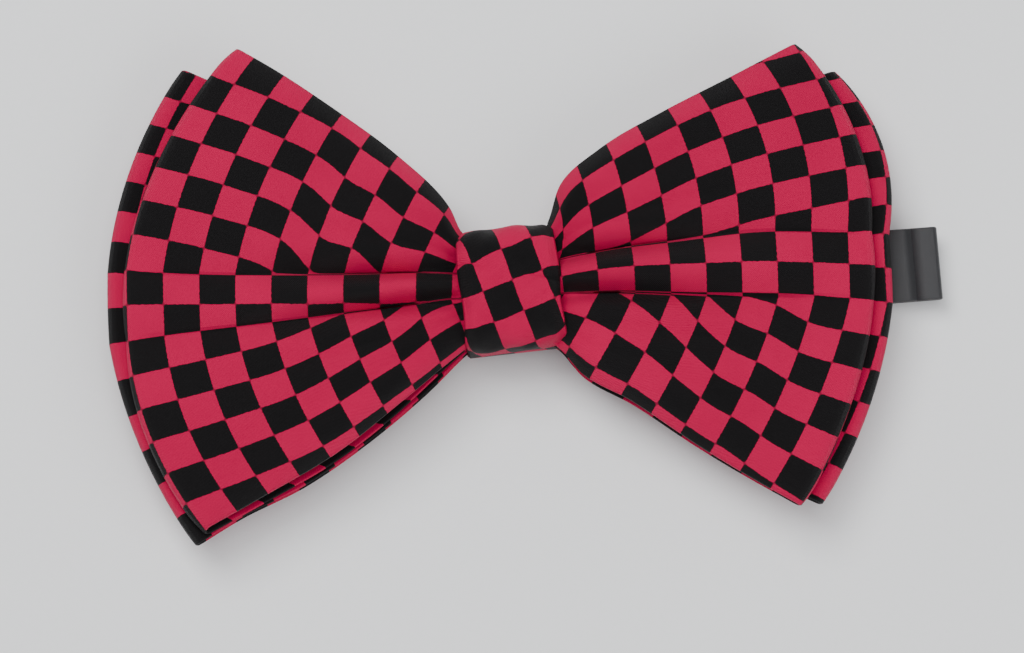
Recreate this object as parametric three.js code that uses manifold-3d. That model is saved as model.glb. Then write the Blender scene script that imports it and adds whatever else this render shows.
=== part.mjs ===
// A banded, pre-tied bow tie, lying on its back as it does in its box: +X along the bow, +Y towards the
// chin, +Z out of the front of the bow. The origin is the middle of the flat back of the knot.
import * as THREE from "three";
import { ParametricGeometry } from "three/addons/geometries/ParametricGeometry.js";
import { mergeVertices } from "three/addons/utils/BufferGeometryUtils.js";
import Module from "manifold-3d";

const wasm = await Module();
wasm.setup();

// Driving dimensions, in millimetres.
const CLEAR = 0.3; // between pieces that touch
const FABRIC = 0.5; // folded satin of a bow
const INTERLINING = 0.4;
const EASE_GAP = 0.5; // between a bow's cloth and the interlining nested in it
const HEM = 1; // the interlining stops this far inside a bow's long edges
const KNOT_LENGTH = 15.4; // along X
const KNOT_HEIGHT = 19.6; // along Y
const KNOT_WALL = 0.8;
const KNOT_CORNER = 3;
const KNOT_LEAN = 6.6; // degrees, the top of the knot towards -X
const PINCH_HALF = 6.9; // half the height of the gathered bows inside the knot
const PINCH_DEPTH = 3.2; // between the two panels of one bow inside the knot
const THREAD = 0.5;
const THREAD_LENGTH = 3; // the bound stretch, along X
const BAND_WIDTH = 12;
const BAND_PLY = 0.6;
const BAND_LEAN = 4.6; // degrees, the right end of the folded band towards +Y
const LEFT_LEAN = 17.5; // degrees, the left strap's free end towards +Y
const NEAR_FOLD_X = 70; // the folds of the right strap, measured along the band
const FAR_FOLD_X = 60;
const TURN_INNER = 0.7; // inner radius where the band turns round a metal bar
const BAR = 0.8; // thickness of the metal bars
const METAL_MARGIN = 0.4; // each side, between the band's edge and a metal frame
const HOOK_BAR_X = 46;
const HOOK_FRAME = 5;
const TONGUE_WIDTH = 5;
const TONGUE_REACH = 11; // from the bar to the middle of the hook's curl
const TONGUE_PLATE = 0.6;
const TONGUE_MOUTH = 1.2;
const TONGUE_RETURN = 4;
const SLIDE_X = -30; // where the adjuster is set
const SLIDE_LENGTH = 12;
const SLIDE_PLATE = 0.6;
const SLIDE_BAR = 1.4;
const SLIDE_RAIL = 1.2;
const RAMP = 14; // the last run steps down over this length after the far fold
const RING_BAR_X = 38; // measured along the left strap
const RING_LENGTH = 10;
const RING_TAB = 10; // the ply sewn back from the ring's bar
const RING_STRAP_Z = 0.3; // height of the left strap where it meets the ring
const RING_ROOM = 0.85; // from the ring's stitches up to the middle of the back bow's rear panel at its tip
const TACK = [9, 1.2, 0.35]; // a row of stitches: across the band, along it, and thick

// The two bows: where each panel lies at the tip, and each wing's outline. topX, topY and bottomX, bottomY
// are the corners, tip is the reach of the middle, and the powers set how early the edges flare.
const FRONT_BOW = {
  rearTip: 7.5,
  frontTip: 10.2,
  puff: 2.6,
  wings: {
    left: { tip: 62.8, topX: 44.6, topY: 39.4, topPower: 0.62, bottomX: 49.2, bottomY: 38.9, bottomPower: 0.62 },
    right: { tip: 58.8, topX: 44.6, topY: 40.2, topPower: 0.5, bottomX: 46.8, bottomY: 35, bottomPower: 0.66 },
  },
};
const BACK_BOW = {
  frontTip: 6.7,
  puff: 0,
  wings: {
    left: { tip: 65.4, topX: 53.3, topY: 36.3, topPower: 0.62, bottomX: 50.4, bottomY: 41, bottomPower: 0.62 },
    right: { tip: 62, topX: 52.8, topY: 36.1, topPower: 0.5, bottomX: 50.1, bottomY: 34.3, bottomPower: 0.66 },
  },
};
const PANEL_STATIONS = [0, 0.05, 0.15, 0.32, 0.55, 0.8, 1]; // from the knot to the tip
const FOLD_STEPS = 4;
const ACROSS_STEPS = 6;
const TIP_POWER = 1.7; // how squarely the tips are cut

// Heights, from the back of the knot outwards.
const LEAN = THREE.MathUtils.degToRad(KNOT_LEAN);
const BAND_Z = KNOT_WALL + CLEAR + BAND_PLY / 2;
const THREAD_BOTTOM = BAND_Z + BAND_PLY / 2 + CLEAR;
const BUNDLE_BOTTOM = THREAD_BOTTOM + THREAD + CLEAR;
BACK_BOW.rearPinch = BUNDLE_BOTTOM + FABRIC / 2;
BACK_BOW.frontPinch = BACK_BOW.rearPinch + PINCH_DEPTH;
FRONT_BOW.rearPinch = BACK_BOW.frontPinch + FABRIC + CLEAR;
FRONT_BOW.frontPinch = FRONT_BOW.rearPinch + PINCH_DEPTH;
const BUNDLE_TOP = FRONT_BOW.frontPinch + FABRIC / 2;
const THREAD_TOP = BUNDLE_TOP + CLEAR + THREAD;
const KNOT_DEPTH = THREAD_TOP + CLEAR + INTERLINING + CLEAR + KNOT_WALL;

// Heights behind the knot: the middle run of band passes it, and the last run hangs below that with the
// adjuster and the hook.
const TURN_MIDDLE = TURN_INNER + BAND_PLY / 2;
const LAYER = BAND_PLY + CLEAR;
const MIDDLE_RUN_Z = -CLEAR - BAND_PLY / 2;
const RETURN_PLY_Z = MIDDLE_RUN_Z - LAYER;
const HOOK_BAR_Z = RETURN_PLY_Z - TURN_MIDDLE;
const LAST_RUN_Z = HOOK_BAR_Z - TURN_MIDDLE;

// The back bow's wings clear the ring's end of the left strap, which lies behind them.
const RING_TOP = RING_STRAP_Z + TURN_MIDDLE + TURN_INNER + BAND_PLY + CLEAR + TACK[2];
BACK_BOW.rearTip = RING_TOP + RING_ROOM;

// Where the knot ends and where the straps hinge, either side of the middle.
const BAND_TURN = THREE.MathUtils.degToRad(BAND_LEAN);
const LEFT_TURN = THREE.MathUtils.degToRad(LEFT_LEAN);
const KNOT_REACH = (KNOT_LENGTH / 2) * Math.cos(LEAN) + (KNOT_HEIGHT / 2) * Math.sin(LEAN);
const GATHER_X = KNOT_REACH + 0.5;
const ROOT_GAP = CLEAR + 0.1;
const RIGHT_ROOT_X = KNOT_LENGTH / 2 + CLEAR + BAND_PLY / 2 + 0.15;
const LEFT_ROOT_X = RIGHT_ROOT_X + (BAND_WIDTH / 2) * Math.tan(BAND_TURN + LEFT_TURN);
const HINGE_GAP = CLEAR / 2;
const FRAME_HALF = BAND_WIDTH / 2 + METAL_MARGIN + BAR;

const MATERIALS = {
  satin: new THREE.MeshStandardMaterial({ name: "satin", color: 0xc2184b, roughness: 0.45 }),
  rearSatin: new THREE.MeshStandardMaterial({ name: "rear_satin", color: 0x8f1238, roughness: 0.45 }),
  interlining: new THREE.MeshStandardMaterial({ name: "interlining", color: 0xd9d6cc, roughness: 0.95 }),
  thread: new THREE.MeshStandardMaterial({ name: "thread", color: 0x101012, roughness: 0.8 }),
  band: new THREE.MeshStandardMaterial({ name: "band", color: 0x0b0b0d, roughness: 0.55 }),
  nickel: new THREE.MeshStandardMaterial({ name: "nickel", color: 0xc9c8c4, roughness: 0.25, metalness: 1 }),
};

const bowTie = new THREE.Group();

function addPiece(parent, name, geometry, material) {
  const mesh = new THREE.Mesh(geometry, material);
  mesh.name = name;
  parent.add(mesh);
}

// A closed geometry as a manifold-3d solid, and a solid as a geometry.
function solidOf(geometry) {
  const loose = geometry.index ? geometry.toNonIndexed() : geometry;
  const bare = new THREE.BufferGeometry().setAttribute("position", loose.getAttribute("position"));
  const merged = mergeVertices(bare, 1e-3);
  const vertProperties = merged.getAttribute("position").array;
  const triVerts = new Uint32Array(merged.index.array);
  return new wasm.Manifold(new wasm.Mesh({ numProp: 3, vertProperties, triVerts }));
}

function geometryOf(solid) {
  const mesh = solid.getMesh();
  const position = new THREE.BufferAttribute(new Float32Array(mesh.vertProperties), 3);
  const index = new THREE.BufferAttribute(new Uint32Array(mesh.triVerts), 1);
  return new THREE.BufferGeometry().setAttribute("position", position).setIndex(index);
}

function joined(geometries) {
  return geometryOf(geometries.map(solidOf).reduce((whole, next) => whole.add(next)));
}

// A box from the middle of its low-Z face.
function block(length, width, thick, x, y, z) {
  return new THREE.BoxGeometry(length, width, thick).translate(x, y, z + thick / 2);
}

// A side view in X and Z, extruded across Y about Y = 0.
function sideExtrusion(shape, width) {
  const turn = new THREE.Matrix4().makeBasis(
    new THREE.Vector3(1, 0, 0),
    new THREE.Vector3(0, 0, 1),
    new THREE.Vector3(0, -1, 0),
  );
  const geometry = new THREE.ExtrudeGeometry(shape, { depth: width, bevelEnabled: false, curveSegments: 6 });
  return geometry.applyMatrix4(turn).translate(0, width / 2, 0);
}

// An end view in Y and Z, extruded along X about X = 0.
function endExtrusion(shape, length) {
  const turn = new THREE.Matrix4().makeBasis(
    new THREE.Vector3(0, 1, 0),
    new THREE.Vector3(0, 0, 1),
    new THREE.Vector3(1, 0, 0),
  );
  const geometry = new THREE.ExtrudeGeometry(shape, { depth: length, bevelEnabled: false, curveSegments: 4 });
  return geometry.applyMatrix4(turn).translate(-length / 2, 0, 0);
}

// --- The bows -------------------------------------------------------------------------------------------

// The stations once round a bow: along the front to the right tip, round its fold, back along the rear,
// and the same on the left. face is 1 on the front panel, -1 on the rear, and a sine round a fold.
function loopStations() {
  const right = PANEL_STATIONS.map((along) => ({ along, face: 1, out: 0 }));
  for (let step = 1; step < FOLD_STEPS; step++) {
    const angle = Math.PI / 2 - (Math.PI * step) / FOLD_STEPS;
    right.push({ along: 1, face: Math.sin(angle), out: Math.cos(angle) });
  }
  PANEL_STATIONS.toReversed().forEach((along) => right.push({ along, face: -1, out: 0 }));
  const left = right.toReversed();
  return [...right.map((s) => ({ ...s, side: 1 })), ...left.map((s) => ({ ...s, side: -1 }))];
}

// A point of a bow's surface, moved inwards from the middle of its fabric by inset. across runs from -1 at
// the lower long edge to 1 at the upper one.
function bowPoint(bow, station, across, inset, hem, target) {
  const wing = station.side > 0 ? bow.wings.right : bow.wings.left;
  const upper = across > 0;
  const cornerX = upper ? wing.topX : wing.bottomX;
  const cornerY = upper ? wing.topY : wing.bottomY;
  const power = upper ? wing.topPower : wing.bottomPower;
  const radius = (bow.frontTip - bow.rearTip) / 2;
  const reach = wing.tip - (wing.tip - cornerX) * Math.abs(across) ** TIP_POWER - radius;
  const x = THREE.MathUtils.lerp(GATHER_X, reach, station.along) + (radius - inset) * station.out;
  const half = PINCH_HALF + (cornerY - PINCH_HALF) * station.along ** power - hem;
  const ease = THREE.MathUtils.smoothstep(station.along, 0, 1);
  const rear = THREE.MathUtils.lerp(bow.rearPinch, bow.rearTip, ease);
  const swell = bow.puff * 4 * station.along * (1 - station.along) * (1 - across * across);
  const front = THREE.MathUtils.lerp(bow.frontPinch, bow.frontTip, ease) + swell;
  const middle = (front + rear) / 2;
  const z = middle + station.face * ((front - rear) / 2 - inset);
  target.set(station.side * x, across * half, z);
}

// One closed strip of cloth: its outer face, a long edge, its inner face and the other long edge.
function bowLoop(bow, thickness, inset, hem) {
  const stations = loopStations();
  const ring = 2 * ACROSS_STEPS + 2;
  const surface = (u, v, target) => {
    const station = stations[Math.round(u * stations.length) % stations.length];
    const step = Math.round(v * ring) % ring;
    const outer = step <= ACROSS_STEPS;
    const across = outer ? (2 * step) / ACROSS_STEPS - 1 : 1 - (2 * (step - ACROSS_STEPS - 1)) / ACROSS_STEPS;
    bowPoint(bow, station, across, inset + (outer ? -thickness : thickness) / 2, hem, target);
  };
  return new ParametricGeometry(surface, stations.length, ring);
}

function addBow(name, bow, material) {
  const nested = FABRIC / 2 + EASE_GAP + INTERLINING / 2;
  addPiece(bowTie, name, bowLoop(bow, FABRIC, 0, 0), material);
  addPiece(bowTie, name + "_interlining", bowLoop(bow, INTERLINING, nested, HEM), MATERIALS.interlining);
}

// --- The knot -------------------------------------------------------------------------------------------

function roundedRectangle(shape, half, bottom, top, corner) {
  shape.moveTo(-half + corner, bottom);
  shape.lineTo(half - corner, bottom);
  shape.absarc(half - corner, bottom + corner, corner, -Math.PI / 2, 0, false);
  shape.absarc(half - corner, top - corner, corner, 0, Math.PI / 2, false);
  shape.absarc(-half + corner, top - corner, corner, Math.PI / 2, Math.PI, false);
  shape.absarc(-half + corner, bottom + corner, corner, Math.PI, 1.5 * Math.PI, false);
  return shape;
}

function sleeve(half, bottom, top, wall, corner, length) {
  const shape = roundedRectangle(new THREE.Shape(), half, bottom, top, corner);
  shape.holes.push(roundedRectangle(new THREE.Path(), half - wall, bottom + wall, top - wall, corner - wall));
  return endExtrusion(shape, length);
}

// The interlining of the knot: a saddle over the front and sides of the bows.
function knotSaddle() {
  const half = KNOT_HEIGHT / 2 - KNOT_WALL - CLEAR;
  const top = KNOT_DEPTH - KNOT_WALL - CLEAR;
  const corner = KNOT_CORNER - KNOT_WALL - CLEAR;
  const inner = corner - INTERLINING;
  const foot = BUNDLE_BOTTOM;
  const shape = new THREE.Shape();
  shape.moveTo(half - INTERLINING, foot);
  shape.lineTo(half, foot);
  shape.absarc(half - corner, top - corner, corner, 0, Math.PI / 2, false);
  shape.absarc(-half + corner, top - corner, corner, Math.PI / 2, Math.PI, false);
  shape.lineTo(-half, foot);
  shape.lineTo(-half + INTERLINING, foot);
  shape.absarc(-half + corner, top - corner, inner, Math.PI, Math.PI / 2, true);
  shape.absarc(half - corner, top - corner, inner, Math.PI / 2, 0, true);
  return endExtrusion(shape, KNOT_LENGTH - 2 * HEM);
}

function addKnot() {
  const knot = new THREE.Group();
  knot.rotation.z = LEAN;
  bowTie.add(knot);
  const wrap = sleeve(KNOT_HEIGHT / 2, 0, KNOT_DEPTH, KNOT_WALL, KNOT_CORNER, KNOT_LENGTH);
  addPiece(knot, "knot_wrap", wrap, MATERIALS.satin);
  addPiece(knot, "knot_interlining", knotSaddle(), MATERIALS.interlining);
  const within = KNOT_WALL + 2 * CLEAR + INTERLINING;
  const boundHalf = KNOT_HEIGHT / 2 - within;
  const binding = sleeve(boundHalf, THREAD_BOTTOM, THREAD_TOP, THREAD, KNOT_CORNER - within, THREAD_LENGTH);
  addPiece(knot, "gather_thread", binding, MATERIALS.thread);
}

// --- The neck band --------------------------------------------------------------------------------------

// A run of band through points [x, z] of its middle.
function bandRun(points) {
  const half = BAND_PLY / 2;
  const top = points.map(([x, z]) => new THREE.Vector2(x, z + half));
  const bottom = points.map(([x, z]) => new THREE.Vector2(x, z - half));
  return sideExtrusion(new THREE.Shape([...top, ...bottom.reverse()]), BAND_WIDTH);
}

// The stretch inside the knot. Its left end is cut square to the left strap.
function anchorRun() {
  const half = BAND_WIDTH / 2;
  const end = RIGHT_ROOT_X - ROOT_GAP;
  const leftEnd = LEFT_ROOT_X - ROOT_GAP;
  const skew = half * Math.tan(BAND_TURN + LEFT_TURN);
  const shape = new THREE.Shape();
  shape.moveTo(-leftEnd - skew, -half);
  shape.lineTo(end, -half);
  shape.lineTo(end, half);
  shape.lineTo(-leftEnd + skew, half);
  const options = { depth: BAND_PLY, bevelEnabled: false };
  return new THREE.ExtrudeGeometry(shape, options).translate(0, 0, BAND_Z - BAND_PLY / 2);
}

function placed(parent, x, z) {
  const group = new THREE.Group();
  group.position.set(x, 0, z);
  parent.add(group);
  return group;
}

// The band turned half round a bar at the origin, with one ply running back by reach. lower picks the ply.
function turnedBand(reach, lower) {
  const outer = TURN_INNER + BAND_PLY;
  const shape = new THREE.Shape();
  const sign = lower ? -1 : 1;
  shape.moveTo(0, -sign * outer);
  shape.absarc(0, 0, outer, (-sign * Math.PI) / 2, (sign * Math.PI) / 2, lower);
  shape.lineTo(-reach, sign * outer);
  shape.lineTo(-reach, sign * TURN_INNER);
  shape.absarc(0, 0, TURN_INNER, (sign * Math.PI) / 2, (-sign * Math.PI) / 2, !lower);
  return sideExtrusion(shape, BAND_WIDTH);
}

// A flat rectangular frame with the band's bar at the origin.
function metalFrame(length) {
  const inner = BAND_WIDTH / 2 + METAL_MARGIN;
  const corner = 1.2;
  const place = new THREE.Matrix4().makeRotationZ(-Math.PI / 2).setPosition(-BAR / 2, 0, -BAR / 2);
  const shape = roundedRectangle(new THREE.Shape(), FRAME_HALF, 0, length, corner + BAR / 2);
  shape.holes.push(roundedRectangle(new THREE.Path(), inner, BAR, length - BAR, corner - BAR / 2));
  const options = { depth: BAR, bevelEnabled: false, curveSegments: 3 };
  return new THREE.ExtrudeGeometry(shape, options).applyMatrix4(place);
}

// The hook's tongue, from the frame's far bar out to a curl that turns back under it.
function hookTongue() {
  const half = TONGUE_PLATE / 2;
  const drop = TONGUE_PLATE + TONGUE_MOUTH;
  const middle = -drop / 2;
  const back = TONGUE_REACH - TONGUE_RETURN;
  const shape = new THREE.Shape();
  shape.moveTo(HOOK_FRAME - BAR, half);
  shape.absarc(TONGUE_REACH, middle, drop / 2 + half, Math.PI / 2, -Math.PI / 2, true);
  shape.lineTo(back, -drop - half);
  shape.lineTo(back, -drop + half);
  shape.absarc(TONGUE_REACH, middle, drop / 2 - half, -Math.PI / 2, Math.PI / 2, false);
  shape.lineTo(HOOK_FRAME - BAR, -half);
  return sideExtrusion(shape, TONGUE_WIDTH);
}

// The three-bar slide: its end bars pass under the band and its middle bar over it.
function slideFrame() {
  const width = 2 * (BAND_WIDTH / 2 + METAL_MARGIN + SLIDE_RAIL);
  const high = BAR / 2;
  const endTop = -TURN_MIDDLE - BAND_PLY / 2 - CLEAR;
  const low = endTop - SLIDE_PLATE;
  const railY = (width - SLIDE_RAIL) / 2;
  const endX = (SLIDE_LENGTH - SLIDE_BAR) / 2;
  return joined([
    block(SLIDE_LENGTH, SLIDE_RAIL, high - low, 0, railY, low),
    block(SLIDE_LENGTH, SLIDE_RAIL, high - low, 0, -railY, low),
    block(SLIDE_BAR, width, SLIDE_PLATE, endX, 0, low),
    block(SLIDE_BAR, width, SLIDE_PLATE, -endX, 0, low),
    block(SLIDE_BAR, width, BAR, 0, 0, -high),
  ]);
}

function addAnchor(band) {
  addPiece(band, "band_anchor", anchorRun(), MATERIALS.band);
  const tackX = KNOT_LENGTH / 3;
  const tackZ = BAND_Z + BAND_PLY / 2 + CLEAR;
  for (const [name, side] of [["anchor_tack_left", -1], ["anchor_tack_right", 1]]) {
    addPiece(band, name, block(TACK[1], TACK[0], TACK[2], side * tackX, 0, tackZ), MATERIALS.thread);
  }
}

// The right strap in three runs: out to the near fold, back to the far one, and out again to the hook.
function addRightStrap(band) {
  const near = NEAR_FOLD_X - HINGE_GAP;
  const far = -FAR_FOLD_X + HINGE_GAP;
  const inner = bandRun([[RIGHT_ROOT_X, BAND_Z], [near, MIDDLE_RUN_Z + LAYER]]);
  addPiece(band, "right_band_inner", inner, MATERIALS.band);
  addPiece(band, "right_band_middle", bandRun([[near, MIDDLE_RUN_Z], [far, MIDDLE_RUN_Z]]), MATERIALS.band);
  const outer = bandRun([[far, RETURN_PLY_Z], [far + RAMP, LAST_RUN_Z], [HOOK_BAR_X - CLEAR, LAST_RUN_Z]]);
  addPiece(band, "right_band_outer", outer, MATERIALS.band);
  const hookEnd = placed(band, HOOK_BAR_X, HOOK_BAR_Z);
  addPiece(hookEnd, "band_return", turnedBand(HOOK_BAR_X - SLIDE_X + SLIDE_BAR, false), MATERIALS.band);
  addPiece(hookEnd, "hook", joined([metalFrame(HOOK_FRAME), hookTongue()]), MATERIALS.nickel);
  const slide = placed(band, SLIDE_X, HOOK_BAR_Z);
  addPiece(slide, "slide_adjuster", slideFrame(), MATERIALS.nickel);
  const tackX = SLIDE_BAR / 2 + CLEAR + TACK[1] / 2;
  const tackZ = TURN_INNER - CLEAR - TACK[2];
  addPiece(slide, "adjuster_bartack", block(TACK[1], TACK[0], TACK[2], tackX, 0, tackZ), MATERIALS.thread);
}

// The left strap is one run, ending in the ring that the hook catches. Its own +X runs from the knot outwards.
function addLeftStrap(band) {
  const root = placed(band, -LEFT_ROOT_X, 0);
  root.rotation.z = Math.PI - BAND_TURN - LEFT_TURN;
  const end = RING_BAR_X - CLEAR;
  addPiece(root, "left_band", bandRun([[0, BAND_Z], [end, RING_STRAP_Z]]), MATERIALS.band);
  const ringEnd = placed(root, RING_BAR_X, RING_STRAP_Z + TURN_MIDDLE);
  addPiece(ringEnd, "ring_tab", turnedBand(RING_TAB, false), MATERIALS.band);
  addPiece(ringEnd, "ring", metalFrame(RING_LENGTH), MATERIALS.nickel);
  const tackZ = TURN_INNER + BAND_PLY + CLEAR;
  const tack = block(TACK[1], TACK[0], TACK[2], -RING_TAB + 2 * TACK[1], 0, tackZ);
  addPiece(ringEnd, "ring_bartack", tack, MATERIALS.thread);
}

function addBand() {
  const band = new THREE.Group();
  band.rotation.z = BAND_TURN;
  bowTie.add(band);
  addAnchor(band);
  addRightStrap(band);
  addLeftStrap(band);
}

addBow("front_bow", FRONT_BOW, MATERIALS.satin);
addBow("back_bow", BACK_BOW, MATERIALS.rearSatin);
addKnot();
addBand();

export default bowTie;
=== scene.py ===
"""The visual model of a pre-tied bow tie, built on its CAD frame."""

import math

import bmesh
import bpy
import numpy as np
from bpy.props import FloatProperty, FloatVectorProperty, IntProperty, PointerProperty
from mathutils import Matrix, Vector


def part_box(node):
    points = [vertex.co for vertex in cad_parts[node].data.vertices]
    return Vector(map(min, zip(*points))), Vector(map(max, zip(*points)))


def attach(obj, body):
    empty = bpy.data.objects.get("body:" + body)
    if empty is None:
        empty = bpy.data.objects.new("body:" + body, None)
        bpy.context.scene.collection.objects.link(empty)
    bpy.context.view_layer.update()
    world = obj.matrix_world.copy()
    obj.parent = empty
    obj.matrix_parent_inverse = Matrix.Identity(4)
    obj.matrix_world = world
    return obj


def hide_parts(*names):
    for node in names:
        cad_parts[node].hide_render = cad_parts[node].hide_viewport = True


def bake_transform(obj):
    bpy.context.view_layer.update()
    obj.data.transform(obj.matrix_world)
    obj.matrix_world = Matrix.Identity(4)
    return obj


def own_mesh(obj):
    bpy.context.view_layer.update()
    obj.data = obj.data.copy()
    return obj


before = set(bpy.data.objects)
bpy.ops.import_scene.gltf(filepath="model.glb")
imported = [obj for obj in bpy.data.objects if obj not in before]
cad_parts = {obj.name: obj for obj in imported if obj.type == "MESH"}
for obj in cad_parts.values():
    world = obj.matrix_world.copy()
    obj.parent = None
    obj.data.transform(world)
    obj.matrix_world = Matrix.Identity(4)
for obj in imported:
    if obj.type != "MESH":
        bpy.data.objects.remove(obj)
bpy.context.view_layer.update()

bl_info = {
    "name": "Bow Tie",
    "version": (1, 0, 0),
    "blender": (4, 5, 0),
    "location": "View3D > Sidebar > Bow Tie",
    "description": "Builds a checked satin bow tie on its folding neck band",
    "category": "Add Mesh",
}

MM = 0.001
KNOT_LEAN = math.radians(6.6)
BAND_LEAN = math.radians(4.6)
LEFT_LEAN = math.radians(17.5)
BAND_ALONG = np.array([math.cos(BAND_LEAN), math.sin(BAND_LEAN), 0.0])
BAND_ACROSS = np.array([-math.sin(BAND_LEAN), math.cos(BAND_LEAN), 0.0])
STRAP_TURN = math.pi - LEFT_LEAN
STRAP_ALONG = np.array([math.cos(STRAP_TURN), math.sin(STRAP_TURN), 0.0])
STRAP_ACROSS = np.array([-math.sin(STRAP_TURN), math.cos(STRAP_TURN), 0.0])


# --- Sizes and colours ---------------------------------------------------------------------------------


class ClothSettings(bpy.types.PropertyGroup):
    """The checked satin of the bows and the knot."""

    thickness: FloatProperty(
        name="Cloth", description="Thickness of the folded satin", default=0.0005, unit="LENGTH", min=0.0001
    )
    pleat_depth: FloatProperty(
        name="Pleat depth",
        description="Depth of the two main pleats beside the knot",
        default=0.0042, unit="LENGTH",
    )
    red: FloatVectorProperty(
        name="Red",
        description="Colour of the red squares",
        default=(0.64, 0.001, 0.075), subtype="COLOR", size=3,
    )
    black: FloatVectorProperty(
        name="Black",
        description="Colour of the black squares",
        default=(0.0065, 0.0056, 0.0062), subtype="COLOR", size=3,
    )


class BandSettings(bpy.types.PropertyGroup):
    """The neck band, its stitches and its metal."""

    ribbon: FloatVectorProperty(
        name="Band",
        description="Colour of the neck band",
        default=(0.01, 0.01, 0.012), subtype="COLOR", size=3,
    )
    nickel: FloatVectorProperty(
        name="Metal",
        description="Colour of the plated metal",
        default=(0.78, 0.76, 0.72), subtype="COLOR", size=3,
    )
    thread: FloatProperty(
        name="Thread",
        description="Thickness of the sewing thread",
        default=0.00034, unit="LENGTH", min=0.0001,
    )
    stitches: IntProperty(name="Stitches", description="Stitches in one row of tacking", default=11, min=3, max=40)


class StageSettings(bpy.types.PropertyGroup):
    """Floor, lights and camera."""

    floor: FloatVectorProperty(
        name="Floor", description="Colour of the floor", default=(0.95, 0.96, 0.97), subtype="COLOR", size=3
    )
    elevation: FloatProperty(
        name="Elevation",
        description="Angle of the camera above the floor",
        default=math.radians(82), subtype="ANGLE",
    )
    distance: FloatProperty(
        name="Distance", description="From the camera to the bow", default=0.9, unit="LENGTH"
    )


# --- Meshes --------------------------------------------------------------------------------------------


def smooth(low, high, value):
    """0 below low, 1 above high, and a smooth step between them."""
    t = np.clip((np.asarray(value, float) - low) / (high - low), 0, 1)
    return t * t * (3 - 2 * t)


def through(knots, values, at):
    """A smooth curve through the values at the knots."""
    knots, values = np.asarray(knots, float), np.asarray(values, float)
    at = np.clip(np.asarray(at, float), knots[0], knots[-1])
    slopes = np.gradient(values, knots, axis=0)
    i = np.clip(np.searchsorted(knots, at, side="right") - 1, 0, len(knots) - 2)
    gap = knots[i + 1] - knots[i]
    t = (at - knots[i]) / gap
    if values.ndim > 1:
        t, gap = t[..., None], gap[..., None]
    start = (2 * t**3 - 3 * t**2 + 1) * values[i] + (t**3 - 2 * t**2 + t) * gap * slopes[i]
    end = (3 * t**2 - 2 * t**3) * values[i + 1] + (t**3 - t**2) * gap * slopes[i + 1]
    return start + end


def edge_line(points, mouth, at):
    """Points along an edge: at runs from 0 at the tip to 1 at the knot's mouth and 2 at its middle."""
    points = np.asarray(points, float)
    run = np.concatenate([[0], np.cumsum(np.linalg.norm(np.diff(points, axis=0), axis=1))])
    at = np.asarray(at, float)
    outside = at * run[mouth]
    inside = run[mouth] + (at - 1) * (run[-1] - run[mouth])
    return through(run, points, np.where(at <= 1, outside, inside))


def finish_mesh(name, vertices, faces, corner_uvs=None, material=None):
    """A smooth-shaded object from points in millimetres, its faces turned outwards."""
    mesh = bpy.data.meshes.new(name)
    mesh.from_pydata((np.asarray(vertices, float) * MM).tolist(), [], faces)
    if corner_uvs is not None:
        layer = mesh.uv_layers.new(name="weave")
        layer.data.foreach_set("uv", np.asarray(corner_uvs, np.float32).ravel())
    shape = bmesh.new()
    shape.from_mesh(mesh)
    if shape.calc_volume(signed=True) < 0:
        bmesh.ops.reverse_faces(shape, faces=shape.faces)
    shape.to_mesh(mesh)
    shape.free()
    mesh.polygons.foreach_set("use_smooth", np.ones(len(mesh.polygons), bool))
    mesh.validate()
    piece = bpy.data.objects.new(name, mesh)
    bpy.context.scene.collection.objects.link(piece)
    if material:
        mesh.materials.append(material)
    return piece


def sheet_normals(grid, ring):
    """Unit normals of a grid of points. ring is True where its rows close on themselves."""
    if ring:
        along = np.roll(grid, -1, axis=0) - np.roll(grid, 1, axis=0)
    else:
        along = np.gradient(grid, axis=0)
    across = np.gradient(grid, axis=1)
    normal = np.cross(along, across)
    return normal / np.maximum(np.linalg.norm(normal, axis=2, keepdims=True), 1e-9)


def cloth_ring(name, grid, weave, thickness, material):
    """A closed band of cloth with rounded long edges. grid[i, j]: i goes round the ring, j across the cloth."""
    rows = len(grid)
    normal = sheet_normals(grid, True)
    outer = grid + normal * thickness / 2
    inner = grid - normal * thickness / 2
    edge = []
    for here, inside in ((0, 1), (-1, -2)):
        out = grid[:, here] - grid[:, inside]
        out /= np.maximum(np.linalg.norm(out, axis=1, keepdims=True), 1e-9)
        edge.append(grid[:, here] + out * thickness / 2)
    section = np.concatenate([outer, edge[1][:, None], inner[:, ::-1], edge[0][:, None]], axis=1)
    weaves = np.concatenate([weave, weave[:, -1:], weave[:, ::-1], weave[:, :1]], axis=1)
    around = section.shape[1]
    faces, uvs = [], []
    for i in range(rows):
        k = (i + 1) % rows
        for j in range(around):
            m = (j + 1) % around
            faces.append((i * around + j, k * around + j, k * around + m, i * around + m))
            uvs += [weaves[i, j], weaves[k, j], weaves[k, m], weaves[i, m]]
    return finish_mesh(name, section.reshape(-1, 3), faces, uvs, material)


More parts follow.
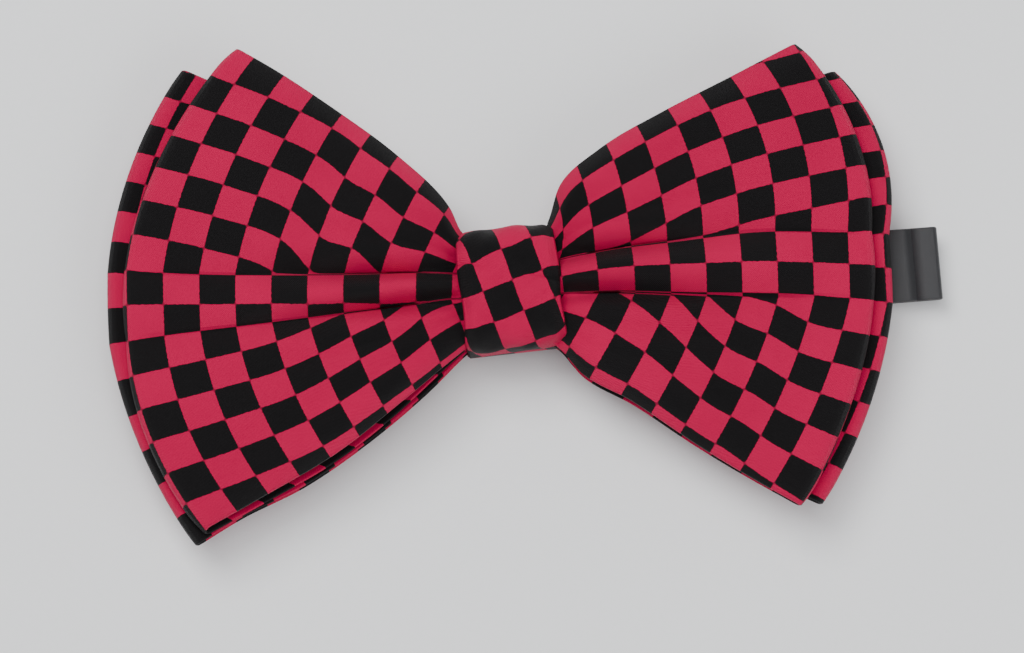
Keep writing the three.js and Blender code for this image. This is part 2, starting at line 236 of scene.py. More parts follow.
def swept(name, path, sides, section, material, closed=False):
    """A section swept along a path. path and sides are points and their across directions, and section holds
    (across, up) points, anticlockwise. The weave UV is in millimetres."""
    path = np.asarray(path, float)
    ahead = np.roll(path, -1, 0) - np.roll(path, 1, 0) if closed else np.gradient(path, axis=0)
    ahead /= np.linalg.norm(ahead, axis=1, keepdims=True)
    sides = np.broadcast_to(np.asarray(sides, float), path.shape)
    up = np.cross(ahead, sides)
    up /= np.linalg.norm(up, axis=1, keepdims=True)
    section = np.asarray(section, float)
    count, around = len(path), len(section)
    vertices = (
        path[:, None] + sides[:, None] * section[None, :, :1] + up[:, None] * section[None, :, 1:2]
    ).reshape(-1, 3)
    run = np.concatenate([[0], np.cumsum(np.linalg.norm(np.diff(path, axis=0), axis=1))])
    faces, uvs = [], []
    for i in range(count if closed else count - 1):
        k = (i + 1) % count
        for j in range(around):
            m = (j + 1) % around
            faces.append((i * around + j, i * around + m, k * around + m, k * around + j))
            end = run[i] + np.linalg.norm(path[k] - path[i])
            uvs += [(run[i], section[j, 0]), (run[i], section[m, 0]), (end, section[m, 0]), (end, section[j, 0])]
    if not closed:
        for start, turn in ((0, -1), ((count - 1) * around, 1)):
            faces.append([start + j for j in range(around)][::turn])
            uvs += [(run[0 if turn < 0 else -1], section[j, 0]) for j in range(around)][::turn]
    return finish_mesh(name, vertices, faces, uvs, material)


def rounded_bar(half_width, half_height, corner, steps=3):
    """The section of a flat bar or ribbon with rounded corners, as (across, up) points."""
    corner = min(corner, half_width, half_height)
    points = []
    for quarter, (x, y) in enumerate(((1, 1), (-1, 1), (-1, -1), (1, -1))):
        for step in range(steps + 1):
            angle = math.pi / 2 * (quarter + step / steps)
            points.append(
                (
                    x * (half_width - corner) + corner * math.cos(angle),
                    y * (half_height - corner) + corner * math.sin(angle),
                )
            )
    return points


# --- Materials -----------------------------------------------------------------------------------------


class Nodes:
    """Short ways to add and join nodes in a tree."""

    def __init__(self, tree):
        self.tree = tree

    def add(self, kind, **settings):
        node = self.tree.nodes.new(kind)
        for key, value in settings.items():
            setattr(node, key, value)
        return node

    def join(self, source, target):
        self.tree.links.new(source, target)

    def math(self, operation, first, second=None, clamp=False):
        node = self.add("ShaderNodeMath", operation=operation, use_clamp=clamp)
        for socket, value in zip(node.inputs, (first, second)):
            if value is None:
                continue
            if isinstance(value, (int, float)):
                socket.default_value = value
            else:
                self.join(value, socket)
        return node.outputs[0]

    def mix(self, factor, first, second):
        node = self.add("ShaderNodeMix", data_type="RGBA")
        for socket, value in ((node.inputs[0], factor), (node.inputs[6], first), (node.inputs[7], second)):
            if isinstance(value, (int, float)):
                socket.default_value = value
            elif isinstance(value, tuple):
                socket.default_value = value
            else:
                self.join(value, socket)
        return node.outputs[2]

    def noise(self, vector, scale, detail=2.0, rough=0.5):
        node = self.add("ShaderNodeTexNoise")
        node.inputs["Scale"].default_value = scale
        node.inputs["Detail"].default_value = detail
        node.inputs["Roughness"].default_value = rough
        self.join(vector, node.inputs["Vector"])
        return node.outputs["Fac"]


def new_group(name, inputs, outputs):
    """An empty shader group: inputs and outputs are (name, socket type, default) rows."""
    group = bpy.data.node_groups.new(name, "ShaderNodeTree")
    for label, kind, default in inputs:
        socket = group.interface.new_socket(label, in_out="INPUT", socket_type=kind)
        if default is not None:
            socket.default_value = default
    for label, kind in outputs:
        group.interface.new_socket(label, in_out="OUTPUT", socket_type=kind)
    nodes = Nodes(group)
    return group, nodes, nodes.add("NodeGroupInput"), nodes.add("NodeGroupOutput")


def twill_group():
    """Fine diagonal threads with a little fuzz, used by every woven material."""
    if "twill" in bpy.data.node_groups:
        return bpy.data.node_groups["twill"]
    inputs = [
        ("Weave", "NodeSocketVector", None),
        ("Threads", "NodeSocketFloat", 20.0),
        ("Slant", "NodeSocketFloat", 1.0),
    ]
    outputs = [("Height", "NodeSocketFloat"), ("Fuzz", "NodeSocketFloat")]
    group, n, source, result = new_group("twill", inputs, outputs)
    split = n.add("ShaderNodeSeparateXYZ")
    n.join(source.outputs["Weave"], split.inputs[0])
    slanted = n.math("MULTIPLY", split.outputs[1], source.outputs["Slant"])
    turns = n.math("MULTIPLY", n.math("ADD", split.outputs[0], slanted), source.outputs["Threads"])
    wave = n.math("SINE", n.math("MULTIPLY", turns, 2 * math.pi))
    cross = n.math("MULTIPLY", n.math("SUBTRACT", split.outputs[0], slanted), source.outputs["Threads"])
    step = n.math("SINE", n.math("MULTIPLY", cross, 6 * math.pi))
    fuzz = n.noise(source.outputs["Weave"], 34.0, 3.0, 0.7)
    height = n.math("ADD", n.math("MULTIPLY", wave, 0.32), n.math("MULTIPLY", step, 0.12))
    n.join(n.math("ADD", height, n.math("MULTIPLY", fuzz, 0.5)), result.inputs["Height"])
    n.join(fuzz, result.inputs["Fuzz"])
    return group


def checks_group():
    """Woven squares: 1 on the coloured ones, with edges that step from thread to thread."""
    if "woven_squares" in bpy.data.node_groups:
        return bpy.data.node_groups["woven_squares"]
    inputs = [("Weave", "NodeSocketVector", None), ("Ragged", "NodeSocketFloat", 0.02)]
    group, n, source, result = new_group("woven_squares", inputs, [("Coloured", "NodeSocketFloat")])
    wander = n.add("ShaderNodeTexNoise")
    wander.inputs["Scale"].default_value = 11.0
    wander.inputs["Detail"].default_value = 3.0
    n.join(source.outputs["Weave"], wander.inputs["Vector"])
    shift = n.add("ShaderNodeVectorMath", operation="SUBTRACT")
    n.join(wander.outputs["Color"], shift.inputs[0])
    shift.inputs[1].default_value = (0.5, 0.5, 0.5)
    scaled = n.add("ShaderNodeVectorMath", operation="SCALE")
    n.join(shift.outputs[0], scaled.inputs[0])
    n.join(n.math("MULTIPLY", source.outputs["Ragged"], 4.0), scaled.inputs["Scale"])
    moved = n.add("ShaderNodeVectorMath", operation="ADD")
    n.join(source.outputs["Weave"], moved.inputs[0])
    n.join(scaled.outputs[0], moved.inputs[1])
    split = n.add("ShaderNodeSeparateXYZ")
    n.join(moved.outputs[0], split.inputs[0])
    waves = [n.math("SINE", n.math("MULTIPLY", split.outputs[k], math.pi)) for k in (0, 1)]
    product = n.math("MULTIPLY", *waves)
    sharp = n.math("ADD", n.math("MULTIPLY", product, -48.0), 0.5, clamp=True)
    n.join(sharp, result.inputs["Coloured"])
    return group


def place_group(n, group, vector, **values):
    node = n.add("ShaderNodeGroup", node_tree=group)
    n.join(vector, node.inputs["Weave"])
    for key, value in values.items():
        node.inputs[key].default_value = value
    return node


def bumped(n, height, shader, strength, distance):
    bump = n.add("ShaderNodeBump")
    bump.inputs["Strength"].default_value = strength
    bump.inputs["Distance"].default_value = distance
    n.join(height, bump.inputs["Height"])
    n.join(bump.outputs[0], shader.inputs["Normal"])


def new_material(name):
    material = bpy.data.materials.new(name)
    material.use_nodes = True
    n = Nodes(material.node_tree)
    shader = material.node_tree.nodes["Principled BSDF"]
    return material, n, shader


def checked_satin(cloth):
    """Satin with red and black squares; the weave UV counts one unit to a square."""
    if "checked_satin" in bpy.data.materials:
        return bpy.data.materials["checked_satin"]
    material, n, shader = new_material("checked_satin")
    weave = n.add("ShaderNodeUVMap", uv_map="weave").outputs[0]
    squares = place_group(n, checks_group(), weave, Ragged=0.012)
    twill = place_group(n, twill_group(), weave, Threads=17.0, Slant=1.0)
    place = n.add("ShaderNodeTexCoord").outputs["Object"]
    drift = n.noise(place, 60.0, 3.0, 0.6)
    deep = tuple(c * 0.62 for c in cloth.red) + (1.0,)
    light = tuple(min(1.0, c * 1.2 + 0.004) for c in cloth.red) + (1.0,)
    fibre = n.math("ADD", n.math("MULTIPLY", twill.outputs["Fuzz"], 0.9), n.math("MULTIPLY", drift, 0.4))
    red = n.mix(n.math("SUBTRACT", fibre, 0.15, clamp=True), deep, light)
    dark = tuple(c * 0.7 for c in cloth.black) + (1.0,)
    grey = tuple(c * 2.0 + 0.004 for c in cloth.black) + (1.0,)
    specks = n.math("POWER", n.noise(weave, 46.0, 2.0, 0.8), 5.0)
    black = n.mix(n.math("MULTIPLY", specks, 6.0, clamp=True), dark, grey)
    n.join(n.mix(squares.outputs[0], black, red), shader.inputs["Base Color"])
    n.join(n.math("ADD", n.math("MULTIPLY", twill.outputs["Fuzz"], 0.22), 0.40), shader.inputs["Roughness"])
    shader.inputs["Sheen Weight"].default_value = 0.02
    shader.inputs["Sheen Roughness"].default_value = 0.4
    shader.inputs["Specular IOR Level"].default_value = 0.14
    bumped(n, twill.outputs["Height"], shader, 0.8, 0.00014)
    return material


def band_ribbon(band):
    """Plain black satin ribbon, its threads along the band; the UV is in millimetres."""
    if "band_ribbon" in bpy.data.materials:
        return bpy.data.materials["band_ribbon"]
    material, n, shader = new_material("band_ribbon")
    weave = n.add("ShaderNodeUVMap", uv_map="weave").outputs[0]
    twill = place_group(n, twill_group(), weave, Threads=2.4, Slant=2.0)
    base = tuple(band.ribbon)
    low, high = tuple(c * 0.7 for c in base) + (1.0,), tuple(c * 2.0 + 0.004 for c in base) + (1.0,)
    n.join(n.mix(twill.outputs["Fuzz"], low, high), shader.inputs["Base Color"])
    n.join(n.math("ADD", n.math("MULTIPLY", twill.outputs["Fuzz"], 0.2), 0.32), shader.inputs["Roughness"])
    shader.inputs["Sheen Weight"].default_value = 0.15
    bumped(n, twill.outputs["Height"], shader, 0.4, 0.00008)
    return material


def stiffener():
    """Matte non-woven interlining: pressed fibres with no grain."""
    if "interlining" in bpy.data.materials:
        return bpy.data.materials["interlining"]
    material, n, shader = new_material("interlining")
    place = n.add("ShaderNodeTexCoord").outputs["Object"]
    fibres = n.noise(place, 1500.0, 4.0, 0.7)
    cloud = n.noise(place, 220.0, 2.0, 0.5)
    blend = n.math("ADD", n.math("MULTIPLY", fibres, 0.7), n.math("MULTIPLY", cloud, 0.3))
    n.join(n.mix(blend, (0.55, 0.53, 0.47, 1), (0.86, 0.84, 0.79, 1)), shader.inputs["Base Color"])
    n.join(n.math("ADD", n.math("MULTIPLY", fibres, 0.1), 0.82), shader.inputs["Roughness"])
    bumped(n, fibres, shader, 0.5, 0.0001)
    return material


def sewing_thread():
    """Black twisted polyester thread."""
    if "sewing_thread" in bpy.data.materials:
        return bpy.data.materials["sewing_thread"]
    material, n, shader = new_material("sewing_thread")
    place = n.add("ShaderNodeTexCoord").outputs["Object"]
    split = n.add("ShaderNodeSeparateXYZ")
    n.join(place, split.inputs[0])
    slanted = n.math("ADD", split.outputs[0], n.math("ADD", split.outputs[1], split.outputs[2]))
    twist = n.math("SINE", n.math("MULTIPLY", slanted, 26000.0))
    fuzz = n.noise(place, 4200.0, 2.0, 0.6)
    height = n.math("ADD", n.math("MULTIPLY", twist, 0.4), fuzz)
    n.join(n.mix(fuzz, (0.008, 0.008, 0.009, 1), (0.045, 0.045, 0.05, 1)), shader.inputs["Base Color"])
    n.join(n.math("ADD", n.math("MULTIPLY", fuzz, 0.2), 0.45), shader.inputs["Roughness"])
    bumped(n, height, shader, 0.6, 0.00006)
    return material


def nickel_plate(band):
    """Polished nickel on stamped steel, with fine handling marks."""
    if "nickel" in bpy.data.materials:
        return bpy.data.materials["nickel"]
    material, n, shader = new_material("nickel")
    place = n.add("ShaderNodeTexCoord").outputs["Object"]
    stretch = n.add("ShaderNodeMapping")
    stretch.inputs["Scale"].default_value = (1.0, 14.0, 6.0)
    n.join(place, stretch.inputs["Vector"])
    scratches = n.noise(stretch.outputs[0], 700.0, 4.0, 0.6)
    cloud = n.noise(place, 260.0, 3.0, 0.5)
    base = tuple(band.nickel)
    dull, bright = tuple(c * 0.82 for c in base) + (1.0,), base + (1.0,)
    n.join(n.mix(cloud, dull, bright), shader.inputs["Base Color"])
    shader.inputs["Metallic"].default_value = 1.0
    n.join(n.math("ADD", n.math("MULTIPLY", scratches, 0.22), 0.12), shader.inputs["Roughness"])
    bumped(n, scratches, shader, 0.12, 0.00004)
    return material


# --- Bows ----------------------------------------------------------------------------------------------

# Each wing is drawn in its own plan, X outwards from the middle of the knot and Y up, in millimetres. Four
# lines run from the tip to the knot's mouth and on to its middle: the top edge, the pleats above and below
# the middle ridge, and the bottom edge.
MIDDLE_TOP, MIDDLE_BOTTOM = (0, 6.6), (0, -6.6)
WINGS = {
    ("front", -1): {
        "top": [
            (44.6, 39.4), (37.7, 35.3), (27.7, 28.5), (18.1, 21.2), (9.8, 12.8), (7.9, 9.1), (4.6, 7.2), MIDDLE_TOP,
        ],
        "upper": [(62.4, 3.0), (45, 2.6), (25, 2.4), (9, 2.7), (0, 1.8)],
        "lower": [(62, -8.6), (35, -5.1), (20, -3.1), (9.2, -1.7), (0, -1.8)],
        "bottom": [
            (49.2, -38.9), (38.7, -33.0), (28.8, -27.2), (17, -18.0), (8.9, -11), (6.9, -9.3), (4, -7.2), MIDDLE_BOTTOM,
        ],
        "bulge": (2.6, 2.4),
        "columns": ((0.6, 8.8), (0.1, 9.05), (0.1, 9.05), (0.15, 8.95)),
    },
    ("front", 1): {
        "top": [
            (46.5, 40.2), (33.7, 33.4), (24.8, 28.7), (14.6, 22.5), (8.4, 17), (6.2, 10.7), (4.4, 7.6), MIDDLE_TOP,
        ],
        "upper": [(58.6, 9.4), (40, 9.7), (26, 7.8), (15, 6.3), (7.6, 4.9), (0, 1.8)],
        "lower": [(58.8, -1.8), (30, -1.1), (8.3, -0.8), (0, -1.8)],
        "bottom": [
            (46.8, -35), (38.6, -30.4), (30.8, -25.7), (19.8, -18.4), (11.5, -13.6), (8.3, -9.8), (4.4, -7.4), MIDDLE_BOTTOM,
        ],
        "bulge": (3.0, 1.6),
        "columns": ((1.1, 9.8), (0.5, 9.07), (0.5, 9.07), (0.2, 8.2)),
    },
    ("back", -1): {
        "top": [(53.3, 36.3), (40, 30.2), (25, 21), (12, 11), (7.7, 7.6), (4.4, 6.8), MIDDLE_TOP],
        "upper": [(65, 3.0), (45, 2.6), (9, 2.7), (0, 1.8)],
        "lower": [(64.6, -8.6), (35, -5.1), (9.2, -1.7), (0, -1.8)],
        "bottom": [
            (50.4, -41), (43.7, -36.8), (33, -31.3), (22.4, -23.8), (13, -15.7), (7.2, -9.9), (4, -7.2), MIDDLE_BOTTOM,
        ],
        "bulge": (2.2, 1.8),
        "columns": ((-0.2, 8.4), (-0.35, 9.05), (-0.35, 9.05), (-0.3, 8.9)),
    },
    ("back", 1): {
        "top": [(52.8, 36.1), (40, 31.6), (25, 24), (13, 15), (6.6, 9), (4.4, 7.2), MIDDLE_TOP],
        "upper": [(61.2, 9.4), (40, 9.7), (15, 6.3), (7.6, 4.9), (0, 1.8)],
        "lower": [(61.7, -1.8), (30, -1.1), (8.3, -0.8), (0, -1.8)],
        "bottom": [
            (50.1, -34.3), (38.6, -28.9), (30, -24.2), (19, -17), (11, -12.4), (7.9, -9), (4.4, -7.2), MIDDLE_BOTTOM,
        ],
        "bulge": (3.4, 1.8),
        "columns": ((0.2, 8.8), (0.05, 9.07), (0.05, 9.07), (-0.2, 8.0)),
    },
}
# Rows of squares, counted from the top edge, at stations from the tip to the knot's mouth: at the top edge,
# where the top panel dips into the upper pleat, either side of the lower pleat, and at the bottom edge.
ROWS = {
    -1: {
        "at": (0, 0.22, 0.45, 0.56, 0.67, 0.78, 0.89, 1),
        "top": (0, 0.25, 0.45, 0.45, 0.45, 0.45, 0.5, 0.5),
        "upper": (7, 6.7, 6, 5.1, 4.8, 4.0, 3.9, 3.8),
        "ridge": (9, 8.8, 8.55, 8.4, 8.3, 8.15, 8.1, 8),
        "lower": (9, 9.1, 9.3, 9.6, 10, 10.4, 11.3, 11.8),
        "bottom": (14.85, 14.6, 14.4, 14.35, 14.3, 14.25, 14.2, 14.2),
    },
    1: {
        "at": (0, 0.18, 0.29, 0.41, 0.525, 0.64, 0.76, 0.875, 1),
        "top": (0.7, 1.1, 1.25, 1.3, 1.3, 1.3, 1.35, 1.35, 1.35),
        "upper": (7, 6.6, 6.4, 6.2, 6, 5.6, 5.2, 5, 4.6),
        "ridge": (9, 9, 9, 9, 9, 9, 8.95, 8.9, 8.8),
        "lower": (9, 9.2, 9.7, 10.1, 11, 12, 12.7, 13.2, 13.4),
        "bottom": (15.1, 15.2, 15.3, 15.3, 15.3, 15.3, 15.3, 15.3, 15.3),
    },
}
INTERLINING_INSET = 0.9
SIDE_STEPS, RIDGE_STEPS = 42, 15
WING_STATIONS = 52
MOUTH_STATIONS = 9

# Heights of each bow's two panels, in millimetres: at the tip, over the wing, at the mouth and in the knot.
HEIGHTS = {
    "front": {
        "front": ((0, 0.25, 0.5, 0.74, 0.9, 1, 1.2, 2), (10.2, 10.9, 12.0, 12.9, 12.1, 10.9, 10.3, 10.25)),
        "rear": ((0, 0.3, 0.7, 1, 2), (7.5, 7.3, 7.1, 7.05, 7.05)),
    },
    "back": {
        "front": ((0, 0.3, 0.7, 1, 2), (6.7, 6.5, 6.35, 6.25, 6.25)),
        "rear": ((0, 0.3, 0.7, 1, 2), (4.1, 3.7, 3.3, 3.05, 3.05)),
    },
}
# Heights where a pleat presses the layers together: rear interlining, front interlining, front cloth.
LEVELS = {"front": (7.5, 7.9, 8.4), "back": (4.4, 4.8, 5.3)}
# Smaller folds of each panel: (share of the way from the long edge to the main pleat, depth, half width).
FOLDS = {
    ("front", 1): ((0.36, 0.8, 3.0), (0.66, 1.2, 2.6)),
    ("front", -1): ((0.18, 2.6, 1.1), (0.36, 2.8, 1.1), (0.54, 2.8, 1.1), (0.72, 2.8, 1.1), (0.9, 1.4, 1.1)),
    ("back", 1): ((0.12, 1.6, 1.0), (0.32, 1.8, 1.0), (0.52, 1.8, 1.0), (0.72, 1.8, 1.0), (0.92, 1.4, 1.0)),
    ("back", -1): ((0.22, 1.7, 1.0), (0.42, 1.9, 1.0), (0.62, 1.9, 1.0), (0.82, 1.9, 1.0)),
}


def across_stations():
    """(region, share) of each column of cloth: 0 the top panel, 1 the ridge, 2 the bottom panel."""
    side = 0.5 - 0.5 * np.cos(np.linspace(0, math.pi, SIDE_STEPS))
    side = 0.3 * side + 0.7 * np.linspace(0, 1, SIDE_STEPS)
    ridge = np.linspace(0, 1, RIDGE_STEPS)
    region = np.concatenate([np.zeros(SIDE_STEPS), np.ones(RIDGE_STEPS - 2), np.full(SIDE_STEPS, 2)])
    share = np.concatenate([side, ridge[1:-1], side])
    return region, share


def wrinkles(x, y, seed):
    """Soft unevenness of cloth, from a few fixed waves, about 1 high."""
    total = 0
    for k, (angle, length, phase) in enumerate(((0.3, 17, 0.4), (1.5, 11, 2.1), (2.3, 7.5, 4.0), (0.9, 5.1, 1.3))):
        direction = angle + seed
        travel = x * math.cos(direction) + y * math.sin(direction)
        total = total + np.sin(2 * math.pi * travel / length + phase + seed * (k + 1)) / (1.4 + k)
    return total / 1.6


def wing_panel(bow, side, face, inset=0.0, pleat=4.2):
    """Points and weave of one panel of one wing, from its tip to the middle of the knot."""
    wing, rows = WINGS[(bow, side)], ROWS[side]
    stations = np.concatenate(
        [1 - (1 - np.linspace(0, 1, WING_STATIONS)) ** 1.12, 1 + np.linspace(0, 1, MOUTH_STATIONS + 1)[1:] ** 1.3]
    )
    region, share = across_stations()
    fold = (HEIGHTS[bow]["front"][1][0] - HEIGHTS[bow]["rear"][1][0]) / 2 + inset
    lines = {}
    for key, mouth_from_end in (("top", 3), ("upper", 2), ("lower", 2), ("bottom", 3)):
        points = np.array(wing[key], float)
        length = np.linalg.norm(np.diff(points, axis=0), axis=1).sum()
        start = fold / length
        at = np.where(stations <= 1, start + stations * (1 - start), stations)
        lines[key] = edge_line(points, len(points) - mouth_from_end, at)
    if bow == "front" and face < 0 and side < 0:
        lines["bottom"][:, 1] -= 0.9 * smooth(1.0, 0.6, stations) * (stations < 1)
    lines["top"][:, 1] -= 3.4 * inset
    lines["bottom"][:, 1] += 3.4 * inset
    pair = {0: ("top", "upper"), 1: ("upper", "lower"), 2: ("lower", "bottom")}
    count = len(region)
    plan = np.zeros((len(stations), count, 2))
    for k, (first, second) in pair.items():
        here = region == k
        a, b = lines[first][:, None], lines[second][:, None]
        t = share[here][None, :, None]
        plan[:, here] = a + (b - a) * t
        if k != 1:
            chord = (b - a)[:, 0]
            outward = np.stack([-chord[:, 1], chord[:, 0]], axis=1)
            outward /= np.maximum(np.linalg.norm(outward, axis=1, keepdims=True), 1e-9)
            outward *= np.where(outward[:, :1] < 0, -1, 1)
            swell = wing["bulge"][0 if k == 0 else 1] * np.clip(1 - stations, 0, 1) ** 1.3
            plan[:, here] += (swell[:, None] * outward)[:, None] * (4 * t * (1 - t))
    # Rows and columns of squares.
    along = np.clip(stations, 0, 1)
    inside = np.clip(stations - 1, 0, 1)
    row_at = {key: through(rows["at"], rows[key], along) for key in ("top", "upper", "ridge", "lower", "bottom")}
    ends = {
        0: (row_at["top"], row_at["upper"]),
        1: (along * 0 + 7, row_at["ridge"]),
        2: (row_at["lower"], row_at["bottom"]),
    }
    column_at = [start + (stop - start) * along + 1.6 * inside for start, stop in wing["columns"]]
    weave = np.zeros((len(stations), count, 2))
    for k in range(3):
        here = region == k
        t = share[here][None]
        weave[:, here, 1] = ends[k][0][:, None] * (1 - t) + ends[k][1][:, None] * t
        weave[:, here, 0] = column_at[k][:, None] * (1 - t) + column_at[k + 1][:, None] * t
    weave[..., 1] *= -1
    if side > 0:
        weave[..., 0] += 1
    # Heights: crown, rolled long edges, the two pleats and the smaller folds that fan out of the knot.
    x, y = plan[..., 0], plan[..., 1]
    height = np.repeat(through(*HEIGHTS[bow]["front" if face > 0 else "rear"], stations)[:, None], count, axis=1)
    reach = np.linalg.norm(lines["upper"] - lines["top"], axis=1)[:, None]
    reach_low = np.linalg.norm(lines["bottom"] - lines["lower"], axis=1)[:, None]
    span = np.where(region == 0, reach, np.where(region == 2, reach_low, 0))
    top_gap = np.where(region == 0, share * span, np.where(region == 2, (1 - share) * span, 99))
    to_upper = np.abs(y - lines["upper"][:, None, 1])
    to_lower = np.abs(y - lines["lower"][:, None, 1])
    near = smooth(0.02, 0.85, along)[:, None]
    out_of_knot = smooth(1.25, 0.98, stations)[:, None]
    strength = {("front", 1): 1.0, ("front", -1): 0.12, ("back", 1): 0.06, ("back", -1): 0.3}[(bow, face)]
    depth = strength * out_of_knot * (0.9 + (pleat - 0.9) * near)
    wide = 5.2 - 3.4 * near
    for gap in (to_upper, to_lower):
        height -= face * depth * np.exp(-((gap / wide) ** 1.25))
    ridge = (region == 1) * np.sin(math.pi * share)[None] ** 0.8
    height += face * strength * out_of_knot * ridge * (0.3 + 1.3 * near)
    roll = (1.9 if (bow, face) == ("front", 1) else 0.35) * out_of_knot * (0.45 + 0.55 * near)
    height -= face * roll * np.clip(1 - top_gap / 4.2, 0, 1) ** 2
    fan = smooth(0.02, 0.75 if (bow, face) == ("front", 1) else 0.35, along)[:, None] * out_of_knot
    if face < 0:
        beside_pleat = 1 - np.exp(-((np.minimum(to_upper, to_lower) / 3.5) ** 2))
        fan = fan * smooth(1.0, 0.85, along)[:, None] * beside_pleat
    inner = np.where(region == 0, share, 1 - share)
    for centre, size, half_width in () if inset and face < 0 else FOLDS[(bow, face)]:
        shift = 0.03 * np.sin(5 * along + 9 * centre)[:, None]
        away = np.abs(inner - centre - shift) * np.maximum(span, 1e-6)
        tight = np.clip(span / 20, 0.25, 1)
        crease = np.exp(-((away / (half_width * tight)) ** 1.5))
        height -= face * (region != 1) * fan * size * np.sqrt(tight) * crease
    calm = smooth(0.0, 0.1, along)[:, None] * out_of_knot
    height += face * (0.16 if bow == "front" and face > 0 else 0.06) * calm * wrinkles(x, y * side, 0.7 + 0.9 * side)
    rear_liner, front_liner, front_cloth = LEVELS[bow]
    if inset:
        height = np.full_like(height, front_liner if face > 0 else rear_liner)
    elif face > 0:
        above = height - front_cloth
        height = front_cloth + (above + np.sqrt(above**2 + 0.2)) / 2
    points = np.stack([side * x, y, height], axis=2)
    return points, weave


def bow_grid(bow, inset=0.0, pleat=4.2):
    """One closed loop of cloth: front left wing, front right, round the right tip, and back along the rear."""
    panels = {(side, face): wing_panel(bow, side, face, inset, pleat) for side in (-1, 1) for face in (1, -1)}
    rows, weaves = [], []

    def lay(points, weave):
        rows.extend(points)
        weaves.extend(weave)

    def turn(side):
        """The fold at a tip, from the front panel to the rear."""
        (front, weave_front), (rear, _) = panels[(side, 1)], panels[(side, -1)]
        out = front[0] - front[2]
        out[:, 2] = 0
        out /= np.maximum(np.linalg.norm(out, axis=1, keepdims=True), 1e-9)
        middle, half = (front[0] + rear[0]) / 2, (front[0] - rear[0]) / 2
        radius = np.abs(half[:, 2:3])
        steps = [k / 6 for k in range(1, 6)]
        fold = [middle + half * math.cos(math.pi * t) + out * radius * math.sin(math.pi * t) for t in steps]
        length = np.pi * radius[:, 0] / 5.9
        marks = []
        for t in steps:
            mark = weave_front[0].copy()
            mark[:, 0] -= length * t
            marks.append(mark)
        return fold, marks, length

    for side in (-1, 1):
        points, weave = panels[(side, 1)]
        order = slice(None, -1) if side < 0 else slice(None, None, -1)
        lay(points[order], weave[order])
    fold, marks, length = turn(1)
    lay(fold, marks)
    for side in (1, -1):
        points, weave = panels[(side, -1)]
        weave = weave.copy()
        drop = turn(side)[2]
        weave[..., 0] = 2 * weave[0, :, 0] - weave[..., 0] - drop
        order = slice(None, -1) if side > 0 else slice(None, None, -1)
        lay(points[order], weave[order])
    fold, marks, length = turn(-1)
    lay(fold[::-1], marks[::-1])
    return np.array(rows), np.array(weaves)


class BOWTIE_OT_bows(bpy.types.Operator):
    """Make the two checked bows and their interlinings, each one loop gathered into pleats by the knot"""

    bl_idname = "bowtie.bows"
    bl_label = "Bows"

    def execute(self, context):
        cloth = context.scene.bowtie_cloth
        satin = checked_satin(cloth)
        for bow, node in (("front", "front_bow"), ("back", "back_bow")):
            grid, weave = bow_grid(bow, pleat=cloth.pleat_depth / MM)
            piece = cloth_ring(node + "_cloth", grid, weave, cloth.thickness / MM, satin)
            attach(piece, "bow")
            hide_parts(node)
            grid, weave = bow_grid(bow, inset=INTERLINING_INSET, pleat=cloth.pleat_depth / MM)
            liner = cloth_ring(node + "_liner", grid, weave, 0.28, stiffener())
            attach(liner, "bow")
            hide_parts(node + "_interlining")
        return {"FINISHED"}


# --- Knot ----------------------------------------------------------------------------------------------

KNOT_HALF, KNOT_DEPTH, KNOT_LENGTH = 9.8, 13.1, 15.4
KNOT_WALL = 0.8
KNOT_SQUARE = 5.1  # a square as it shows, cut on the slant and drawn tight
KNOT_WEAVE = math.radians(20.9)


def lean(points):
    """Points of the upright knot turned to the knot's lean."""
    turn = np.array(Matrix.Rotation(KNOT_LEAN, 3, "Z"))
    return np.asarray(points, float) @ turn.T


def knot_outline(half, bottom, top, corner, count=96):
    """(Y, Z) points once round a rounded rectangle, from the middle of its front, and the length run so far."""
    middle, high = (top + bottom) / 2, (top - bottom) / 2
    dense = []
    for quarter, (y, z) in enumerate(((1, 1), (-1, 1), (-1, -1), (1, -1))):
        for step in range(13):
            angle = math.pi / 2 * (quarter + step / 12)
            side = y * (half - corner) + corner * math.cos(angle)
            dense.append((side, middle + z * (high - corner) + corner * math.sin(angle)))
    start = (0.0, top)
    dense = [start] + dense[13:] + dense[:13] + [start]
    dense = np.array(dense)
    run = np.concatenate([[0], np.cumsum(np.linalg.norm(np.diff(dense, axis=0), axis=1))])
    at = np.linspace(0, run[-1], count, endpoint=False)
    return np.stack([np.interp(at, run, dense[:, k]) for k in (0, 1)], axis=1), at, run[-1]


def turned(points, angle):
    """The first two coordinates of points, in axes turned by angle."""
    x, y = points[..., 0], points[..., 1]
    along = x * math.cos(angle) + y * math.sin(angle)
    return np.stack([along, -x * math.sin(angle) + y * math.cos(angle)], axis=-1)


